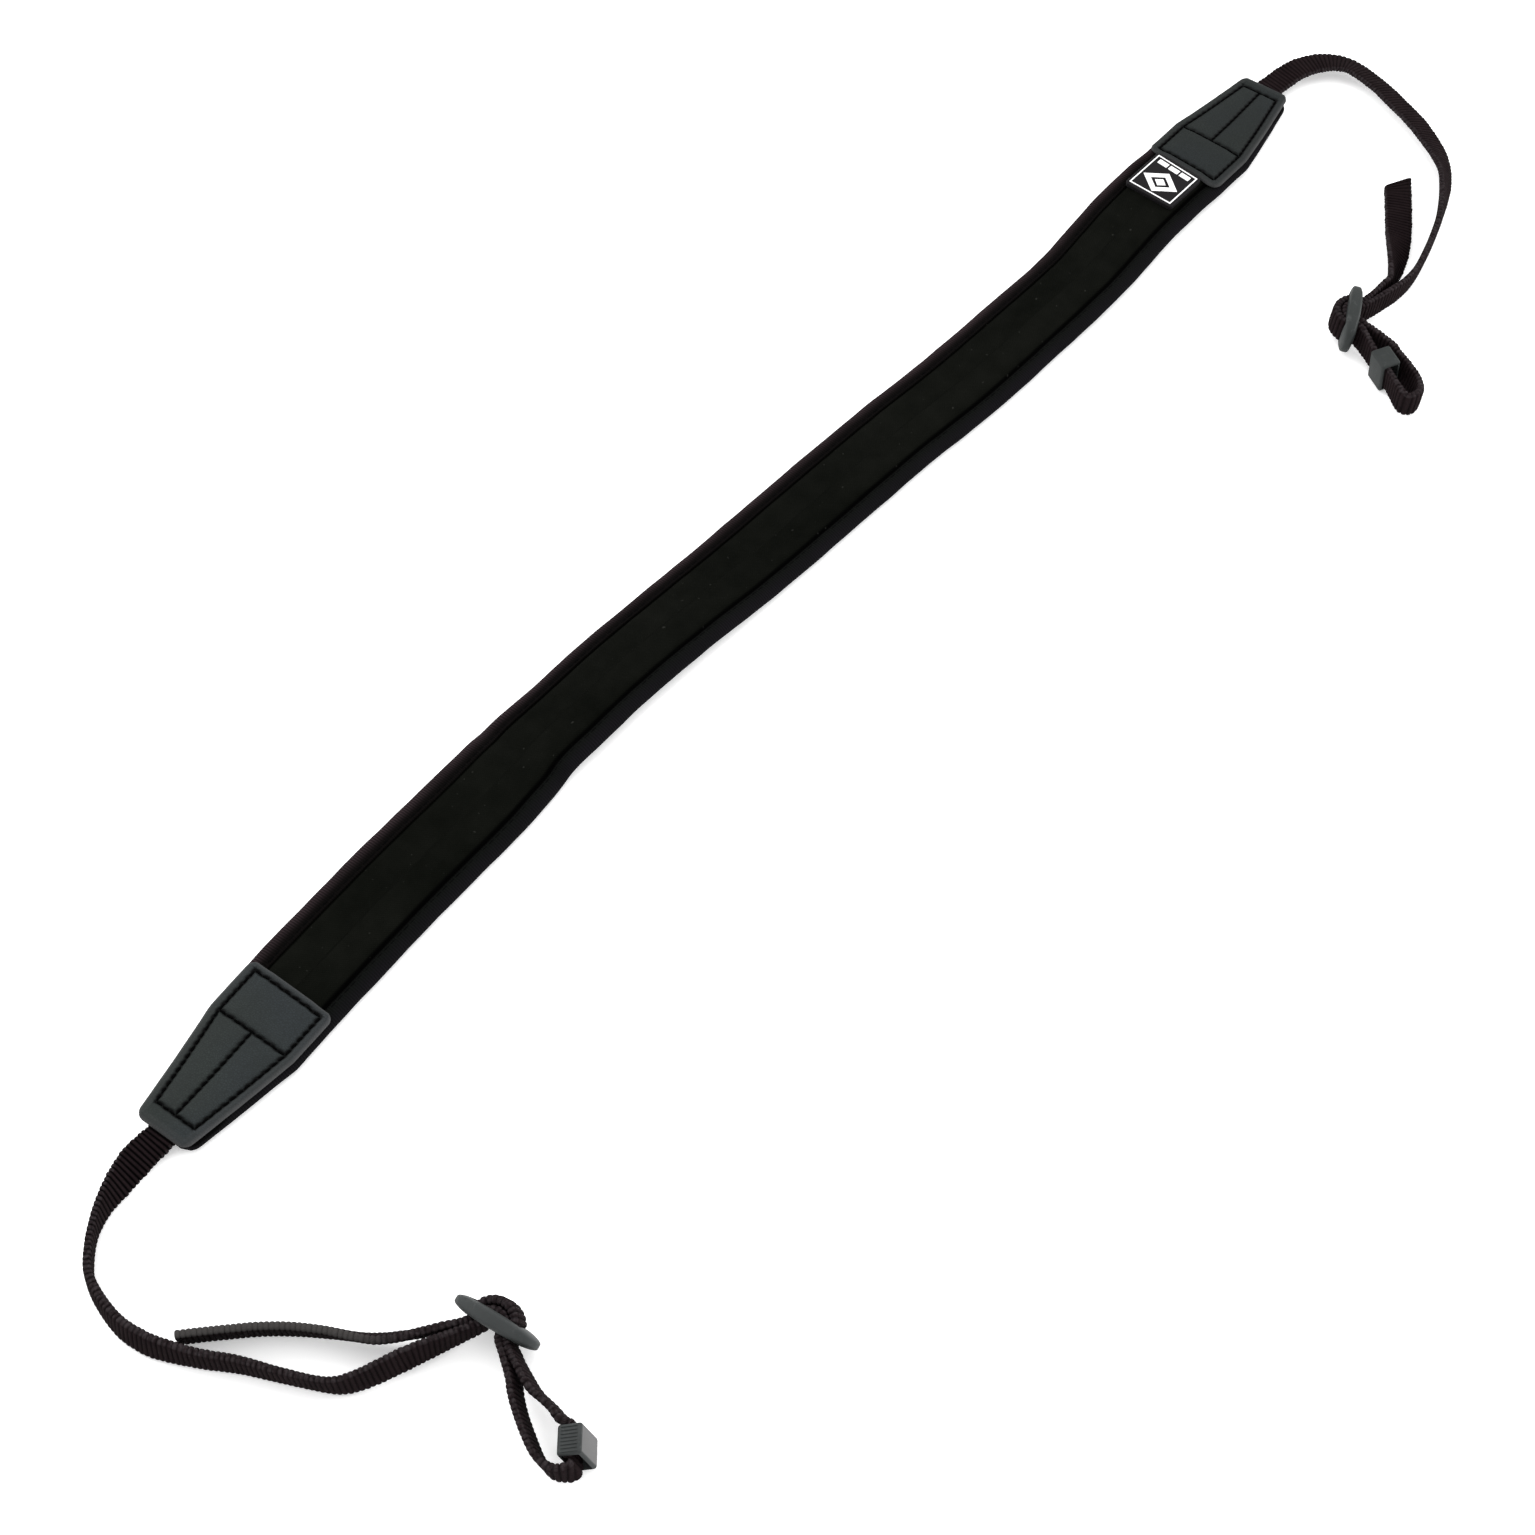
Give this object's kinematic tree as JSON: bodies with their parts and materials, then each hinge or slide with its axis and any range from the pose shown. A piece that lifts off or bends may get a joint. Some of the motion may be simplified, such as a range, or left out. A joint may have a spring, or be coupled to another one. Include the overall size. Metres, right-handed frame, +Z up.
{
  "type": "camera neck strap",
  "caption": "Padded camera neck strap lying loosely curved, with sewn end patches and thin webbing ends, each turned back through a slider and a keeper to make a lug loop.",
  "frame": {"origin": "centre of the strap's bounding box, at the surface that it lies on", "axes": "+X along the padded band from its near end to its far end, +Z up from the surface, +Y to the left of the band seen along +X"},
  "size_m": [0.673, 0.1964, 0.0171],
  "materials": {
    "pad_cloth": "matt knitted cloth over foam",
    "edge_tape": "matt woven tape",
    "patch_leather": "fine-grained, satin",
    "label_rubber": "satin",
    "webbing": "matt ribbed weave",
    "slider_plastic": "matt moulded"
  },
  "bodies": {
    "root": {"neck_pad": "pad_cloth", "left_binding": "edge_tape", "right_binding": "edge_tape", "near_end_patch": "patch_leather", "far_end_patch": "patch_leather", "label_patch": "label_rubber", "near_webbing": "webbing", "far_webbing": "webbing", "near_slider": "slider_plastic", "far_slider": "slider_plastic", "near_keeper": "slider_plastic", "far_keeper": "slider_plastic"}
  },
  "joints": []
}
